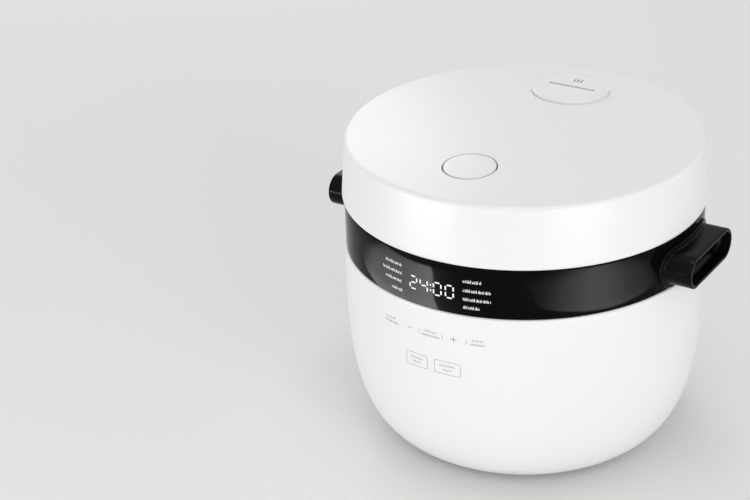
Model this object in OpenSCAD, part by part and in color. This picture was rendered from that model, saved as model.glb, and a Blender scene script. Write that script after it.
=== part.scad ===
// Round electric rice cooker: hinged lid with latch and steam vent, side handles,
// removable pot, heater, control electronics and power inlet.
// Z is up, the front faces -Y, and the origin is on the table under the centre of the body.

/* [Lid] */
// Radius of the lid at its lower edge
lid_r = 121.4; // [120.8:0.1:122.4]
// Radius of the lid where its wall turns into the top
crown_r = 118.8; // [118:0.1:119.6]
// Height of the lid's lower edge above the table
lid_z = 172; // [172:1:172]
// Height of the lid's wall
lid_wall_h = 42; // [41:0.5:44]
// Rise of the domed top above the wall
dome_h = 5; // [4:0.5:6]
// Thickness of the outer plastic walls
wall = 2.5; // [2.2:0.1:2.6]

/* [Body] */
// Radius of the body at its shoulder
body_r = 120.8; // [120.4:0.1:121.4]
// Radius of the body at its bottom edge
base_r = 84; // [83:0.5:88]
// Radius of the black band
band_r = 120; // [119.8:0.1:120.2]
// Height of the band
band_h = 34; // [33:0.5:35]
// Height of the rubber feet
foot_h = 3.2; // [3:0.1:3.2]

/* [Controls] */
// Radius of the open button
button_r = 17; // [15:0.1:17]
// Distance from the centre to the open button
button_y = 72.5; // [72:0.1:73]
// Radius of the steam vent cap
vent_r = 26.4; // [25:0.1:26.4]
// Distance from the centre to the steam vent cap
vent_y = 67.5; // [67:0.1:68]
// How far the open button goes down
button_travel = 3; // [2:0.1:3]

/* [Handles] */
// Distance from the centre to a handle's end face
handle_reach = 135.5; // [132:0.5:140]
// Length of a handle along the band
handle_len = 66; // [60:1:68]
// Height of a handle
handle_h = 22; // [18:0.5:23]
// Height of the handles' centre line above the table
handle_z = 152; // [151:0.5:153]

/* [Pot] */
// Inner radius of the pot
pot_r = 90; // [86:0.5:90]
// Wall thickness of the pot
pot_wall = 2; // [1.5:0.1:2]
// Height of the pot's underside above the table
pot_z = 50; // [50:1:50]
// Radius of the bend between the pot's wall and bottom
pot_bend = 25; // [15:1:30]

/* [Hinge] */
// Distance from the centre back to the hinge axis
hinge_y = 109; // [109:1:109]
// Height of the hinge axis above the table
hinge_z = 178; // [178:1:178]
// Radius of the hinge pin
pin_r = 2.5; // [2:0.1:3]

/* [Hidden] */
$fn = 96;
tiny = 0.01;
big = 300;
fit = 0.05;             // radial clearance of a shaft in its hole
loose = 0.2;            // radial clearance of a screw in a part it only passes through
gap = 0.1;              // gap between parts that rest on each other
lid_top_z = lid_z + lid_wall_h;
seam = 0.5;             // gap between the lid and the band
band_top = lid_z - seam;
band_z = band_top - band_h;
base_z = foot_h + gap;
liner_z = lid_z + 2;
liner_t = 2.4;
liner_top = liner_z + liner_t;
frame_t = 2.5;
screw_r = 1.5;
screw_head_r = 3;
screw_head_t = 1.6;
board_t = 1.6;          // thickness of the circuit boards
flange_z = 167.4;       // underside of the pot's rim
flange_t = 1.8;
flange_r = 97.5;
white = "#f4f4f2";
black = "#0c0c0d";
silver = "#c9cbcd";
board_green = "#1f5a38";

// Points of an arc in the radius and height plane
function arc(c, r, a0, a1, n = 6) = [for (i = [0:n]) let (a = a0 + (a1 - a0) * i / n)
    [c[0] + r * cos(a), c[1] + r * sin(a)]];
// Height of the lid's top at a distance r from the centre
function dome_z(r) = lid_top_z + dome_h * (1 - pow(r / crown_r, 2));
// A quarter of a superellipse that runs down the side of the body
function bowl(r_top, r_low, z_top, z_low, n = 26) = [for (i = [1:n]) let (a = 90 * i / n)
    [r_low + (r_top - r_low) * pow(cos(a), 1.05), z_top - (z_top - z_low) * pow(sin(a), 0.555)]];
// Radius of the body's outside at the height z
function body_r_at(z) = base_r + (body_r - base_r)
    * pow(1 - pow((band_z - z) / (band_z - base_z), 3.6), 0.526);

// A box given by its lowest and highest corners
module span(lo, hi) { translate(lo) cube([hi[0] - lo[0], hi[1] - lo[1], hi[2] - lo[2]]); }
// A tube between two heights
module tube(r_in, r_out, z0, z1) {
    rotate_extrude() translate([r_in, z0]) square([r_out - r_in, z1 - z0]);
}
// A cylinder along X centred at y, z
module bar_x(r, x0, x1, y, z) {
    translate([x0, y, z]) rotate([0, 90, 0]) cylinder(r = r, h = x1 - x0);
}
// An outline with two round ends, its long side along the first axis
module stadium(len, h) {
    square([len - h, h], center = true);
    for (s = [-1, 1]) translate([s * (len - h) / 2, 0]) circle(d = h);
}
// One turn of wire, its axis along Z
module turn(r, wire_r) {
    rotate_extrude($fn = 48) translate([r, 0]) circle(r = wire_r, $fn = 16);
}
// A stack of turns from z0 to z1
module coil(r, wire_r, z0, z1, turns) {
    pitch = (z1 - z0 - 2 * wire_r) / (turns - 1);
    for (i = [0:turns - 1]) translate([0, 0, z0 + wire_r + i * pitch]) turn(r, wire_r);
}
// Copies at the four screw places of the lid
module at_lid_screws() {
    for (p = [[-82, -62], [82, -62], [-88, 52], [88, 52]]) translate([p[0], p[1], 0]) children();
}
// Copies at four places round the base, at the distance r from the centre
module at_corners(r) {
    for (a = [45:90:315]) rotate(a) translate([r, 0, 0]) children();
}

// ---------------------------------------------------------------- lid

lid_edge_round = 2.5;
crown_round = 3;
notch_y = 95;           // front end of the lid's opening for the hinge
notch_half = 54;        // half width of that opening
notch_top = hinge_z + 11.5;
well_z = 203;           // underside of the button's guide
well_t = 2;
guide_wall = 2;
guide_h = 12.8;
edge_gap = 0.5;         // gap round the button and the vent cap
vent_floor = dome_z(vent_y) - 7;
seat_t = 2.4;
seat_wall = 2.2;
cup_r = 14;
boss_r = 4;
boss_h = 36.5;
lid_screw_h = 12;       // length of a lid screw's shank
pad_round = 2;
hump_half = 34.5;       // half angle of the raised pad behind the lid
hump_r = 122.8;

module lid_profile(inset, low) {
    steps = 14;
    dome_edge = crown_r - crown_round;
    polygon(concat(
        [[0, low], [lid_r - inset - lid_edge_round, low]],
        inset == 0 ? arc([lid_r - lid_edge_round, low + lid_edge_round], lid_edge_round, -80, 0)
                   : [[lid_r - inset, low + lid_edge_round]],
        arc([dome_edge, lid_top_z - crown_round + 0.4], crown_round - inset, 5, 80),
        [for (i = [steps:-1:0]) let (r = (dome_edge - 1) * i / steps) [r, dome_z(r) - inset]]
    ));
}

module lid_cover() {
    color(white) difference() {
        union() {
            difference() {
                rotate_extrude($fn = 180) lid_profile(0, lid_z);
                rotate_extrude($fn = 180) lid_profile(wall, lid_z - tiny);
                translate([0, 0, lid_z - 1]) cylinder(r = lid_r - wall, h = 4);
                span([-notch_half, notch_y, lid_z - 1], [notch_half, big, notch_top]);
            }
            // raised pad over the hinge
            rotate(90 - hump_half) rotate_extrude(angle = 2 * hump_half, $fn = 180)
                polygon(concat([[crown_r - 0.6, notch_top], [hump_r - 0.6, notch_top]],
                    arc([hump_r - pad_round, lid_top_z - 1.6 - pad_round], pad_round, 0, 90),
                    [[crown_r - 0.6, lid_top_z - 1.6]]));
            // guide round the button
            translate([0, -button_y, 0]) difference() {
                translate([0, 0, well_z]) cylinder(r = button_r + edge_gap + guide_wall, h = guide_h);
                translate([0, 0, well_z + well_t]) cylinder(r = button_r + edge_gap, h = 20);
            }
            // seat of the vent cap
            translate([0, vent_y, 0]) difference() {
                translate([0, 0, vent_floor - seat_t])
                    cylinder(r = vent_r + edge_gap + seat_wall, h = seat_t + 3.2);
                translate([0, 0, vent_floor]) cylinder(r = vent_r + edge_gap, h = 20);
            }
            at_lid_screws() translate([0, 0, liner_top + gap]) cylinder(r = boss_r, h = boss_h);
        }
        translate([0, -button_y, well_z + well_t]) cylinder(r = button_r + edge_gap, h = 30);
        translate([0, -button_y, well_z - 1]) cylinder(r = stem_r + 1.5, h = 10);
        translate([0, vent_y, vent_floor]) cylinder(r = vent_r + edge_gap, h = 30);
        translate([0, vent_y, vent_floor - 10]) cylinder(r = cup_r + loose, h = 20);
        at_lid_screws() translate([0, 0, liner_top])
            cylinder(r = screw_r + fit, h = lid_screw_h, $fn = 32);
    }
}

liner_r = 118.2;
liner_rib_r = 116.5;
liner_rib_h = 6;
spring_stop = [45, 48]; // front and back of the stop behind the latch spring
post_r = 4;
post_z = lid_z - 3.6;

module lid_liner() {
    color("#e6e6e3") difference() {
        union() {
            translate([0, 0, liner_z]) cylinder(r = liner_r, h = liner_t);
            tube(liner_rib_r - 2, liner_rib_r, liner_top - tiny, liner_top + liner_rib_h);
            // stop behind the latch spring
            span([-6, -spring_stop[1], liner_top - tiny], [6, -spring_stop[0], liner_top + 8]);
            // post for the inner lid's grommet
            translate([0, 0, post_z]) cylinder(r = post_r, h = liner_z + tiny - post_z, $fn = 48);
        }
        translate([0, vent_y, liner_z - 1]) cylinder(r = cup_r + loose, h = 20);
        at_lid_screws() translate([0, 0, liner_z - 1]) cylinder(r = screw_r + loose, h = 5, $fn = 32);
        // slot for the latch
        span([-latch_half - 0.6, -112, liner_z - 1], [latch_half + 0.6, -100.8, liner_top + 1]);
        span([-notch_half, notch_y + 3, liner_z - 1], [notch_half, big, liner_top + 10]);
        translate([-lid_sensor_x, 0, liner_z - 1]) cylinder(r = lid_sensor_r + 0.6, h = 5, $fn = 48);
    }
}

module lid_screws() {
    color(silver) at_lid_screws() {
        translate([0, 0, liner_z - screw_head_t])
            cylinder(r = screw_head_r, h = screw_head_t, $fn = 32);
        translate([0, 0, liner_z - tiny]) cylinder(r = screw_r, h = lid_screw_h, $fn = 32);
    }
}

button_top = dome_z(button_y) + 0.2;
button_t = 2.4;
skirt_z = well_z + well_t + button_travel + 1.3;
ramp_z = 191.5;         // height of the button's ramp under its centre
ramp_gap = 0.4;
stem_r = 8;

module open_button() {
    color(white) translate([0, -button_y, 0]) {
        rotate_extrude() polygon(concat([[0, button_top - button_t], [button_r, button_top - button_t]],
            arc([button_r - 0.8, button_top - 0.8], 0.8, 0, 90), [[0, button_top + 0.1]]));
        tube(button_r - 1.8, button_r, skirt_z, button_top - button_t + 0.1);
        difference() {
            translate([0, 0, ramp_z - stem_r])
                cylinder(r = stem_r, h = button_top - ramp_z + stem_r - button_t + 0.1);
            // end cut at 45 degrees, to push the latch back
            translate([0, 0, ramp_z + ramp_gap]) rotate([45, 0, 0])
                translate([-20, -20, -40]) cube([40, 40, 40]);
        }
    }
}

module button_spring() {
    color(silver) translate([0, -button_y, 0])
        coil(12.4, 0.5, well_z + well_t, button_top - button_t, 4);
}

hook_y = 108;           // front face of the latch hook
hook_back = 104.5;
hook_z = 163.5;
hook_tip = 2.1;
latch_half = 8;
slider_end = 62;        // back end of the slider
slider_z = liner_top + 0.6;
slider_t = 2.8;
ramp_low = slider_z + 2 - ramp_z;
ramp_high = 10.5;

module latch_slider() {
    color("#d8d8d6") {
        span([-latch_half, -hook_y, slider_z], [latch_half, -slider_end, slider_z + slider_t]);
        span([-latch_half, -hook_y, hook_z], [latch_half, -hook_back, slider_z + 1]);
        span([-latch_half, -hook_y - hook_tip, hook_z], [latch_half, -hook_y + tiny, hook_z + 2.7]);
        // ramp under the button
        translate([0, -button_y, ramp_z]) rotate([90, 0, 90]) linear_extrude(height = 12, center = true)
            polygon([[-stem_r, -stem_r], [ramp_high, ramp_high],
                [ramp_high, ramp_low], [-stem_r, ramp_low]]);
    }
}

module latch_spring() {
    color(silver) translate([0, -spring_stop[1] - 0.2, slider_z + 3]) rotate([90, 0, 0])
        coil(2.3, 0.35, 0, 10, 5);
}

cap_top = dome_z(vent_y) + 3;
cap_t = 3;
cap_wall = 1;
slot_half = 17;

module steam_vent_cap() {
    color(white) translate([0, vent_y, 0]) difference() {
        union() {
            rotate_extrude() polygon(concat([[0, cap_top - cap_t], [vent_r - cap_wall, cap_top - cap_t],
                [vent_r - cap_wall, vent_floor + 0.3], [vent_r, vent_floor + 0.3]],
                arc([vent_r - 1.2, cap_top - 1.2], 1.2, 0, 90),
                [[vent_r - 2.6, cap_top - 0.5], [0, cap_top - 0.5]]));
            tube(10, 11.6, vent_floor - 8, cap_top - cap_t + 0.1);
        }
        // steam slot
        span([-slot_half, 0.7, cap_top - 5], [slot_half, 2.3, cap_top + 1]);
    }
}

cup_z = 172.5;

module steam_cup() {
    color("#dcdcda") translate([0, vent_y, 0]) difference() {
        translate([0, 0, cup_z]) cylinder(r = cup_r, h = vent_floor - cup_z - 0.5);
        translate([0, 0, cup_z + 1.5]) cylinder(r = cup_r - 1.8, h = 60);
        for (a = [0:72:288]) rotate(a) translate([7, 0, 170]) cylinder(r = 1.5, h = 10, $fn = 24);
    }
}

module steam_cup_seal() {
    color("#b9bcbe") translate([0, vent_y, 0]) tube(cup_r + gap, cup_r + 3, cup_z - 0.9, liner_z - gap);
}

inner_lid_z = 170.2;
inner_lid_t = 1;
inner_lid_r = 88.5;
grommet_r = 7.5;
grommet_neck = 5.5;
lid_sensor_x = 45;
lid_sensor_r = 3.6;
lid_sensor_low = 166;

module inner_lid() {
    color(silver) difference() {
        translate([0, 0, inner_lid_z]) cylinder(r = inner_lid_r, h = inner_lid_t);
        translate([0, 0, inner_lid_z - 1]) cylinder(r = grommet_neck + gap, h = 4, $fn = 48);
        translate([-lid_sensor_x, 0, inner_lid_z - 1])
            cylinder(r = lid_sensor_r + 0.8, h = 4, $fn = 48);
        for (a = [0:60:300]) translate([0, vent_y, inner_lid_z - 1]) rotate(a)
            translate([6, 0, 0]) cylinder(r = 1.8, h = 4, $fn = 24);
    }
}

lip_r = 95.5;
lip_z = 169.5;          // underside of the seal's lip, just above the pot's rim
seal_r = 91;

module inner_lid_seal() {
    color("#c4c6c6") rotate_extrude() polygon([[inner_lid_r + loose, lip_z + 0.1], [lip_r, lip_z],
        [lip_r, lip_z + 1.1], [seal_r, lip_z + 1.7], [seal_r, liner_z - 0.2],
        [inner_lid_r + loose, liner_z - 0.2]]);
}

module inner_lid_grommet() {
    low = inner_lid_z - 1.1;
    top = inner_lid_z + inner_lid_t + 1.1;
    color("#b9bcbe") rotate_extrude($fn = 48) polygon([[post_r + gap, low], [grommet_r, low],
        [grommet_r, low + 1], [grommet_neck, low + 1], [grommet_neck, top - 1],
        [grommet_r, top - 1], [grommet_r, top], [post_r + gap, top]]);
}

module lid_sensor() {
    color(silver) translate([-lid_sensor_x, 0, 0]) {
        translate([0, 0, lid_sensor_low]) cylinder(r = lid_sensor_r, h = 14, $fn = 48);
        translate([0, 0, liner_top + gap]) cylinder(r = 7, h = 1.5, $fn = 48);
    }
}

knuckle_r = 8.5;
arm_half = 16.5;        // half width of the lid's hinge knuckle
arm_y = 76;             // front end of the arm
arm_foot = [30, 97];    // half width and back end of the arm's foot
spring_half = 8;

module hinge_arm() {
    color("#d8d8d6") difference() {
        union() {
            bar_x(knuckle_r, -arm_half, arm_half, hinge_y, hinge_z);
            span([-arm_half, arm_y + 2, liner_top + gap], [arm_half, hinge_y, hinge_z + 4.5]);
            span([-arm_foot[0], arm_y, liner_top + gap], [arm_foot[0], arm_foot[1], liner_top + 3]);
        }
        bar_x(pin_r + fit, -big, big, hinge_y, hinge_z);
        // room for the spring
        bar_x(7.5, -spring_half - 1, spring_half + 1, hinge_y, hinge_z);
        // clear of the steam cup
        translate([0, vent_y, 160]) cylinder(r = cup_r + 0.5, h = 40);
    }
}

// ---------------------------------------------------------------- body

shoulder_round = 1.6;
base_boss_r = 4.5;
inlet_z = 38;
inlet_y = 114;          // rear face of the power inlet
inlet_half = [15, 11];  // half width and half height of the inlet's housing
inlet_rim = 3;
rim_t = 2.2;
base_screw_at = 75;     // distance of the base screws from the centre
rib_z = 13;
rib_h = 14;

module body_solid(inset) {
    rotate_extrude($fn = 180) polygon(concat(
        [[0, band_z + (inset > 0 ? 1 : 0)]],
        inset > 0 ? [[body_r - inset, band_z + 1]]
                  : arc([body_r - shoulder_round, band_z - shoulder_round], shoulder_round, 90, 0),
        bowl(body_r - inset, base_r - inset, band_z, base_z + inset),
        [[base_r - inset, base_z - (inset > 0 ? 1 : 0)], [0, base_z - (inset > 0 ? 1 : 0)]]
    ));
}

// Cut for the power inlet, wider than its housing by margin, from the depth y outwards
module inlet_room(margin, y) {
    span([-inlet_half[0] - margin, y, inlet_z - inlet_half[1] - margin],
        [inlet_half[0] + margin, 130, inlet_z + inlet_half[1] + margin]);
}

module body_shell() {
    color(white) difference() {
        union() {
            difference() {
                body_solid(0);
                body_solid(wall);
            }
            // screw bosses round the bottom edge and the ribs that carry them
            intersection() {
                body_solid(0);
                union() {
                    at_corners(base_screw_at) translate([0, 0, rib_z])
                        cylinder(r = base_boss_r, h = rib_h);
                    for (a = [45:90:315]) rotate(a)
                        span([base_screw_at + 1, -1.2, rib_z], [110, 1.2, rib_z + rib_h]);
                }
            }
        }
        at_corners(base_screw_at) cylinder(r = screw_r + fit, h = 22, $fn = 32);
        inlet_room(0.3, 90);
        inlet_room(inlet_rim + 0.3, inlet_y - rim_t - 0.3);
    }
}

handle_screw_y = 18;

module handle_screw_holes(r) {
    for (s = [-1, 1]) bar_x(r, -big, big, s * handle_screw_y, handle_z, $fn = 32);
}

band_in = 117;
band_bevel = 0.5;

module control_band() {
    color(black) difference() {
        rotate_extrude($fn = 180) polygon([[band_in, band_z + gap],
            [band_r - band_bevel, band_z + gap], [band_r, band_z + gap + band_bevel],
            [band_r, band_top - band_bevel], [band_r - band_bevel, band_top], [band_in, band_top]]);
        handle_screw_holes(screw_r + loose);
    }
}

ledge_z = flange_z - 0.2;
ledge_t = 2.5;
ledge_in = 93.5;
frame_in = 98.2;
frame_out = band_in - 0.2;
skirt_t = 2.2;
window = [[-47, 140], [47, 163]];   // lowest and highest corners of the display's window

module upper_frame() {
    color("#e6e6e3") difference() {
        rotate_extrude($fn = 180) polygon([[ledge_in, ledge_z - ledge_t], [ledge_in, ledge_z],
            [frame_in, ledge_z], [frame_in, band_top], [frame_out, band_top], [frame_out, band_z + 2],
            [frame_out - skirt_t, band_z + 2], [frame_out - skirt_t, band_top - frame_t],
            [frame_in + frame_t, band_top - frame_t], [frame_in + frame_t, ledge_z - ledge_t]]);
        handle_screw_holes(screw_r + loose);
        // slot for the latch hook
        span([-latch_half - 1.2, -112, 160], [latch_half + 1.2, -101, band_top + 1]);
        // window for the display
        span([window[0][0], -130, window[0][1]], [window[1][0], -104, window[1][1]]);
        // pocket for the hinge bracket, and room for the lid's knuckle
        span([-ear_out - 0.3, 101, 160], [ear_out + 0.3, 113.3, band_top + 1]);
        bar_x(knuckle_r + 0.7, -ear_out - 0.3, ear_out + 0.3, hinge_y, hinge_z);
    }
}

catch_half = 13;
catch_y = 110.6;        // back face of the catch

module latch_catch() {
    catch_top = band_top - frame_t - gap;
    color(silver) span([-catch_half, -catch_y - 3, catch_top - 2.4], [catch_half, -catch_y, catch_top]);
}

ear_in = arm_half + 0.5;
ear_out = 30;
bracket_y = [101.3, 112];
bracket_z = 161;

module hinge_bracket() {
    color("#d8d8d6") difference() {
        union() {
            span([-ear_out, bracket_y[0], bracket_z], [ear_out, bracket_y[1], bracket_z + 7]);
            for (s = [-1, 1]) mirror([s < 0 ? 1 : 0, 0, 0]) {
                bar_x(knuckle_r, ear_in, ear_out, hinge_y, hinge_z);
                span([ear_in, bracket_y[0], bracket_z + 6], [ear_out, bracket_y[1], hinge_z]);
            }
        }
        bar_x(pin_r + fit, -big, big, hinge_y, hinge_z);
        bar_x(knuckle_r + 0.6, -ear_in, ear_in, hinge_y, hinge_z);
        span([-ear_out - 1, bracket_y[1], 150], [ear_out + 1, 130, band_top + 0.2]);
        difference() {
            translate([0, 0, 150]) cylinder(r = 150, h = 60);
            translate([0, 0, 149]) cylinder(r = 118.5, h = 62, $fn = 180);
        }
    }
}

cover_in = 119.2;
cover_t = 2;

module hinge_cover() {
    cover_half = notch_half - 0.6;
    color(white) intersection() {
        tube(cover_in, cover_in + cover_t, band_top + gap, hinge_z + 8, $fn = 180);
        span([-cover_half, 90, 150], [cover_half, 130, 200]);
    }
}

module hinge_pin() {
    color(silver) bar_x(pin_r, -ear_out + 0.5, ear_out - 0.5, hinge_y, hinge_z, $fn = 48);
}

module hinge_spring() {
    color(silver) translate([-spring_half, hinge_y, hinge_z]) rotate([0, 90, 0])
        coil(4.6, 0.7, 0, 2 * spring_half, 8);
}

handle_root = 100;      // where the handle's solid starts, before the band is cut from it
hollow_depth = 9;
rim_w = 2.5;
flange_w = 3;
flange_out = 1.6;       // thickness of the flange that lies against the band

module handle(side) {
    color(black) mirror([side < 0 ? 1 : 0, 0, 0]) difference() {
        union() {
            difference() {
                translate([handle_root, 0, handle_z]) rotate([90, 0, 90])
                    linear_extrude(height = handle_reach - handle_root) stadium(handle_len, handle_h);
                translate([0, 0, handle_z]) cylinder(r = band_r + fit, h = 60, center = true, $fn = 180);
            }
            // flange that lies against the band
            intersection() {
                translate([90, 0, handle_z]) rotate([90, 0, 90])
                    linear_extrude(height = 40)
                        stadium(handle_len + 2 * flange_w, handle_h + 2 * flange_w);
                tube(band_r + fit, band_r + flange_out, handle_z - 30, handle_z + 30, $fn = 180);
            }
        }
        // hollow in the end face
        translate([handle_reach - hollow_depth, 0, handle_z]) rotate([90, 0, 90])
            linear_extrude(height = 20) stadium(handle_len - 2 * rim_w, handle_h - 2 * rim_w);
        hole_end = handle_reach - hollow_depth - 1.5;
        for (s = [-1, 1]) bar_x(screw_r + fit, 90, hole_end, s * handle_screw_y, handle_z, $fn = 32);
    }
}
module handle_left() { handle(-1); }
module handle_right() { handle(1); }

module handle_screws() {
    head_x = 109.4;
    tip_x = handle_reach - hollow_depth - 2;
    color(silver) for (m = [0, 1], s = [-1, 1]) mirror([m, 0, 0]) {
        bar_x(screw_r, head_x + 1.5, tip_x, s * handle_screw_y, handle_z, $fn = 32);
        bar_x(screw_head_r, head_x, head_x + screw_head_t, s * handle_screw_y, handle_z, $fn = 32);
    }
}

display_half = 24;
display_y = 107;        // back face of the display module
display_z = [144, 162];

module display_module() {
    color("#2a2b2d") span([-display_half, -display_y - 6.8, display_z[0]],
        [display_half, -display_y, display_z[1]]);
}

module control_board() {
    color(board_green) span([-42, gap - display_y, display_z[0] - 3.5],
        [42, gap - display_y + board_t, display_z[1] + 0.5]);
}

touch_y = 108;
touch_z = [88, 127];
// Places of the touch springs: x and height
touch_keys = [[-34, 119], [-19, 119], [-2.5, 119], [13.8, 119], [29.5, 119], [-13.8, 97], [9, 97]];

module touch_board() {
    color(board_green) span([-43, -touch_y, touch_z[0]], [43, -touch_y + board_t, touch_z[1]]);
}

// How far from the centre plane a touch spring at x, z reaches to the inside of the shell
function shell_reach(x, z) = sqrt(pow(body_r_at(z) - wall - 0.6, 2) - pow(abs(x) + 4, 2));

module touch_springs() {
    color(silver) for (k = touch_keys) translate([k[0], -touch_y - gap, k[1]]) rotate([90, 0, 0])
        coil(3.4, 0.4, 0, shell_reach(k[0], k[1]) - touch_y - gap, 3);
}

// ---------------------------------------------------------------- cooking

pot_out = pot_r + pot_wall;

module inner_pot() {
    bend_z = pot_z + pot_bend + pot_wall;
    color("#3b3d40") rotate_extrude($fn = 128) polygon(concat(
        [[0, pot_z]],
        arc([pot_r - pot_bend, bend_z], pot_bend + pot_wall, -90, 0, 8),
        [[pot_out, flange_z], [flange_r, flange_z], [flange_r, flange_z + flange_t],
            [pot_r, flange_z + flange_t]],
        arc([pot_r - pot_bend, bend_z], pot_bend, 0, -90, 8),
        [[0, pot_z + pot_wall]]
    ));
}

shield_r = 95.2;
shield_z = 36;
shield_t = 0.8;
shield_top = 164.6;
shield_in = 20;
shield_rim = 100;
rest_h = 6;

module heat_shield() {
    color("#a9acaf") difference() {
        union() {
            rotate_extrude($fn = 128) polygon([[shield_in, shield_z], [shield_r + shield_t, shield_z],
                [shield_r + shield_t, shield_top - shield_t], [shield_rim, shield_top - shield_t],
                [shield_rim, shield_top], [shield_r, shield_top],
                [shield_r, shield_z + shield_t], [shield_in, shield_z + shield_t]]);
            // three rests for the heating plate
            for (a = [90, 210, 330]) rotate(a) translate([64, 0, shield_z])
                cylinder(r = 5, h = rest_h, $fn = 32);
        }
        for (a = [30:60:330]) rotate(a) translate([86, 0, shield_z - 1]) cylinder(r = 3, h = 3, $fn = 24);
    }
}

plate_z = shield_z + rest_h;
plate_in = 17;
plate_out = 74;
element_r = 50;
element_wire = 3.1;

module heating_plate() {
    color(silver) difference() {
        rotate_extrude($fn = 128) polygon([[plate_in, plate_z], [plate_out - 2, plate_z],
            [plate_out, plate_z + 2], [plate_out, pot_z - 1], [plate_out - 1, pot_z], [plate_in, pot_z]]);
        translate([0, 0, plate_z]) turn(element_r, element_wire + 0.2);
    }
}

module heating_element() {
    color("#8d8f92") {
        translate([0, 0, plate_z]) turn(element_r, element_wire);
        for (s = [-1, 1]) rotate(s * 8 + 20) translate([element_r, 0, shield_z + 1])
            cylinder(r = 1.6, h = 4, $fn = 24);
    }
}

fuse_y = 30;
fuse_z = 39.4;

module thermal_fuse() {
    color("#c9b27a") bar_x(1.9, -10, 10, fuse_y, fuse_z, $fn = 32);
}

sensor_r = 15;
sensor_z = 46;
sensor_top = pot_z - 0.3;
plunger_r = 5;
cup_low = 26;
cup_floor = cup_low + 1.4;

module pot_sensor() {
    color(silver) {
        rotate_extrude() polygon([[0, sensor_z], [sensor_r, sensor_z], [sensor_r, sensor_top - 0.7],
            [sensor_r - 0.6, sensor_top], [0, sensor_top]]);
        translate([0, 0, cup_low - 4]) cylinder(r = plunger_r, h = sensor_z - cup_low + 4.5, $fn = 48);
    }
}

module sensor_bracket() {
    color("#a9acaf") difference() {
        union() {
            translate([0, 0, cup_low]) cylinder(r = sensor_r + 3, h = shield_z - cup_low - gap);
            translate([0, 0, shield_z - 1.1]) cylinder(r = 26, h = 1);
        }
        translate([0, 0, cup_floor]) cylinder(r = sensor_r + 1.6, h = 20);
        translate([0, 0, 20]) cylinder(r = plunger_r + fit, h = 20, $fn = 48);
    }
}

module sensor_spring() {
    color(silver) coil(7.5, 0.6, cup_floor, sensor_z, 6);
}

// ---------------------------------------------------------------- base and power

board_z = 13;
on_board = board_z + board_t + gap;
board_half = 38;
board_y = [-66, -22];   // front and back edges of the power board

module power_board() {
    color(board_green) span([-board_half, board_y[0], board_z],
        [board_half, board_y[1], board_z + board_t]);
}

module transformer() {
    color("#d9c24a") span([-32, -60, on_board], [-8, -40, board_z + 18]);
}

module relay() {
    color("#2b5fa8") span([10, -60, on_board], [29, -44, board_z + 17]);
}

module capacitor() {
    color("#222427") translate([18, -32, on_board]) cylinder(r = 6, h = 17, $fn = 48);
}

plate_r = 80.8;
plate_t = 2.4;
plate_lip = 2.2;

// A slot through the base plate that starts at the distance r from the centre
module cooling_slot(r) { span([r, -1.5, -1], [r + 12, 1.5, foot_h + 3]); }

module base_plate() {
    color("#e9e9e7") difference() {
        union() {
            translate([0, 0, foot_h]) cylinder(r = plate_r, h = plate_t);
            tube(plate_r - plate_lip, plate_r, foot_h, 12);
            // pillars under the screw bosses
            at_corners(base_screw_at) translate([0, 0, foot_h])
                cylinder(r = base_boss_r, h = rib_z - gap - foot_h);
            // pillars for the power board
            for (x = [4 - board_half, board_half - 4], y = [board_y[0] + 4, board_y[1] - 4])
                translate([x, y, foot_h]) cylinder(r = 3, h = board_z - foot_h - gap);
        }
        at_corners(base_screw_at) cylinder(r = screw_r + loose, h = 20, $fn = 32);
        at_corners(base_screw_at) cylinder(r = screw_head_r + 0.4, h = foot_h + 3, $fn = 32);
        // two rings of cooling slots
        for (a = [10:20:350]) rotate(a) cooling_slot(24);
        for (a = [0:20:340]) rotate(a) cooling_slot(40);
    }
}

foot_at = 62;           // distance of the feet from the centre
foot_r = 8;

module feet() {
    color("#55585a") at_corners(foot_at) rotate_extrude($fn = 48)
        polygon([[0, 0], [foot_r - 0.8, 0], [foot_r, 0.8], [foot_r, foot_h - 0.05], [0, foot_h - 0.05]]);
}

base_screw_z = foot_h + 1.4;

module base_screws() {
    color(silver) at_corners(base_screw_at) {
        translate([0, 0, base_screw_z]) cylinder(r = screw_head_r, h = screw_head_t, $fn = 32);
        translate([0, 0, base_screw_z + 1.5]) cylinder(r = screw_r, h = 15, $fn = 32);
    }
}

module socket_outline(w, h, cut) {
    polygon([[-w / 2, -h / 2], [w / 2, -h / 2], [w / 2, h / 2 - cut], [w / 2 - cut, h / 2],
        [-w / 2 + cut, h / 2], [-w / 2, h / 2 - cut]]);
}

socket_deep = 14;

module power_inlet() {
    color("#1b1b1c") translate([0, inlet_y, inlet_z]) difference() {
        union() {
            span([-inlet_half[0], -16.8, -inlet_half[1]], [inlet_half[0], 0, inlet_half[1]]);
            span([-inlet_half[0] - inlet_rim, -rim_t, -inlet_half[1] - inlet_rim],
                [inlet_half[0] + inlet_rim, 0, inlet_half[1] + inlet_rim]);
        }
        rotate([90, 0, 0]) translate([0, 0, -1])
            linear_extrude(height = socket_deep + 1) socket_outline(24, 16.4, 4);
        for (x = pin_x)
            span([x - 1 - fit, -40, pin_dz(x) - 2 - fit], [x + 1 + fit, -10, pin_dz(x) + 2 + fit]);
    }
}

pin_x = [-7, 0, 7];
// Height of an inlet pin's centre: the middle one stands higher
function pin_dz(x) = x == 0 ? 2 : -2;

module inlet_pins() {
    color(silver) for (x = pin_x) translate([0, inlet_y, inlet_z])
        span([x - 1, -17.4, pin_dz(x) - 2], [x + 1, -4, pin_dz(x) + 2]);
}

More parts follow.
